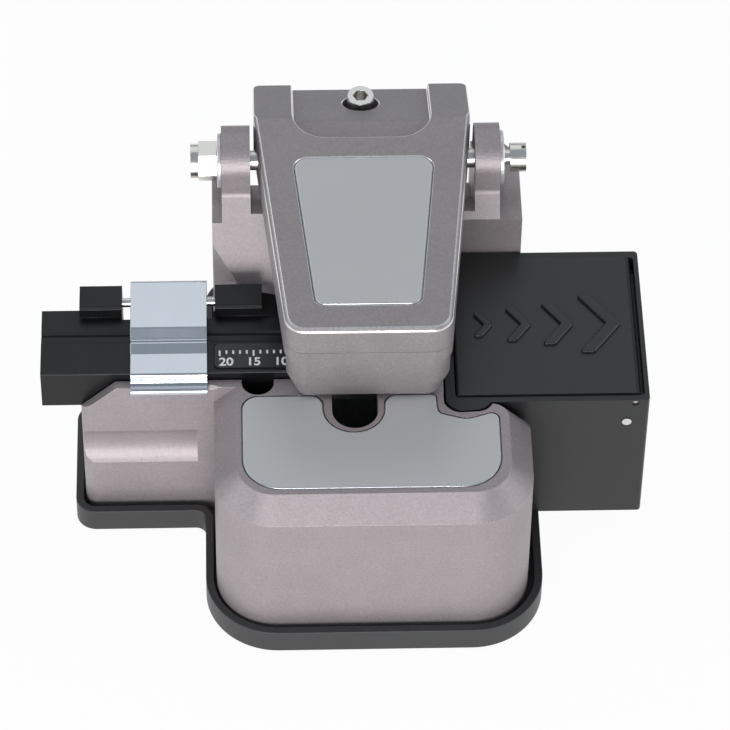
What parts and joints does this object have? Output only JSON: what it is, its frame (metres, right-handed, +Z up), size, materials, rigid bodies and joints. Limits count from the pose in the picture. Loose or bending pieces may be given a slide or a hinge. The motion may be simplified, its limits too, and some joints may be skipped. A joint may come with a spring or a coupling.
{
  "type": "optical fibre cleaver",
  "caption": "Bench-top optical fibre cleaver with hinged lever, sliding blade carriage, black fibre rail with clamp lid and ruler, and an offcut box with hinged lid.",
  "frame": {"origin": "on the table under the middle of the overall outline", "axes": "+X to the offcut box, +Y from the front to the hinge, +Z up"},
  "size_m": [0.0896, 0.076, 0.0489],
  "materials": {
    "tray_plastic": "soft matt",
    "dark_rubber": "matt",
    "steel": "turned",
    "housing_metal": "fine blasted, champagne anodised",
    "label_metal": "satin",
    "black_metal": "black anodised",
    "magnet": "plated",
    "ruler_black": "satin",
    "black_plastic": "fine grain",
    "bush_metal": "turned",
    "plain_metal": "machined",
    "plated": "polished",
    "brass_bush": "turned",
    "blade_steel": "ground"
  },
  "bodies": {
    "base": {"base_tray": "tray_plastic", "rubber_feet": "dark_rubber", "base_screws": "steel", "housing": "housing_metal", "housing_label_plate": "label_metal", "fibre_rail": "black_metal", "rail_magnet": "magnet", "ruler_plate": "ruler_black", "rail_screws": "steel", "fibre_rest": "black_metal", "lower_pad_left": "dark_rubber", "lower_pad_right": "dark_rubber", "offcut_box": "black_plastic", "box_lid_pin": "steel", "box_latch_pin": "steel", "box_screws": "steel", "housing_magnet": "magnet", "hinge_shaft": "steel", "hinge_bush_left": "bush_metal", "hinge_bush_right": "bush_metal", "lock_nut": "steel", "torsion_spring": "steel", "guide_rods": "steel"},
    "lever": {"lever_arm": "housing_metal", "lever_cover": "housing_metal", "lever_label_plate": "label_metal", "stop_screw": "steel", "cover_screws": "steel", "lever_magnet": "magnet", "reset_arm": "steel", "anvil_spring": "steel", "clamp_spring_left": "steel", "clamp_spring_right": "steel"},
    "left_clamp": {"upper_clamp_left": "plain_metal", "upper_pad_left": "dark_rubber"},
    "right_clamp": {"upper_clamp_right": "plain_metal", "upper_pad_right": "dark_rubber"},
    "anvil": {"anvil": "plain_metal"},
    "clamp_lid": {"clamp_lid": "plated", "lid_magnet": "magnet", "lid_pad": "dark_rubber", "lid_hinge_pin": "steel"},
    "box_lid": {"offcut_box_lid": "black_plastic"},
    "carriage": {"carriage": "plain_metal", "carriage_bushes": "brass_bush", "carriage_bumper": "dark_rubber", "blade_screw": "steel"},
    "blade_wheel": {"blade_wheel": "blade_steel"}
  },
  "joints": [
    {"name": "lever_hinge", "type": "hinge", "parent": "base", "child": "lever", "pos_m": [0.00347, 0.02135, 0.0439], "axis": [-1, 0, 0], "range_deg": [0, 45]},
    {"name": "blade_slide", "type": "slide", "parent": "base", "child": "carriage", "axis": [0, -1, 0], "range_m": [0, 0.014]},
    {"name": "wheel_turn", "type": "hinge", "parent": "carriage", "child": "blade_wheel", "pos_m": [0.00147, 0.0041, 0.02435], "axis": [1, 0, 0], "continuous": true},
    {"name": "clamp_lid_hinge", "type": "hinge", "parent": "base", "child": "clamp_lid", "pos_m": [-0.02593, 0.00295, 0.0329], "axis": [-1, 0, 0], "range_deg": [0, 105]},
    {"name": "box_lid_hinge", "type": "hinge", "parent": "base", "child": "box_lid", "pos_m": [0.04267, -0.00125, 0.0303], "axis": [0, 1, 0], "range_deg": [0, 100]},
    {"name": "left_clamp_float", "type": "slide", "parent": "lever", "child": "left_clamp", "axis": [0, 0, 1], "range_m": [0, 0.0004], "deforming": ["clamp_spring_left"]},
    {"name": "right_clamp_float", "type": "slide", "parent": "lever", "child": "right_clamp", "axis": [0, 0, 1], "range_m": [0, 0.0004], "deforming": ["clamp_spring_right"]},
    {"name": "anvil_float", "type": "slide", "parent": "lever", "child": "anvil", "axis": [0, 0, 1], "range_m": [0, 0.0004], "deforming": ["anvil_spring"]}
  ],
  "couplings": [
    {"joint": "blade_slide", "follows": "lever_hinge", "m_per_rad": 0.017825}
  ]
}
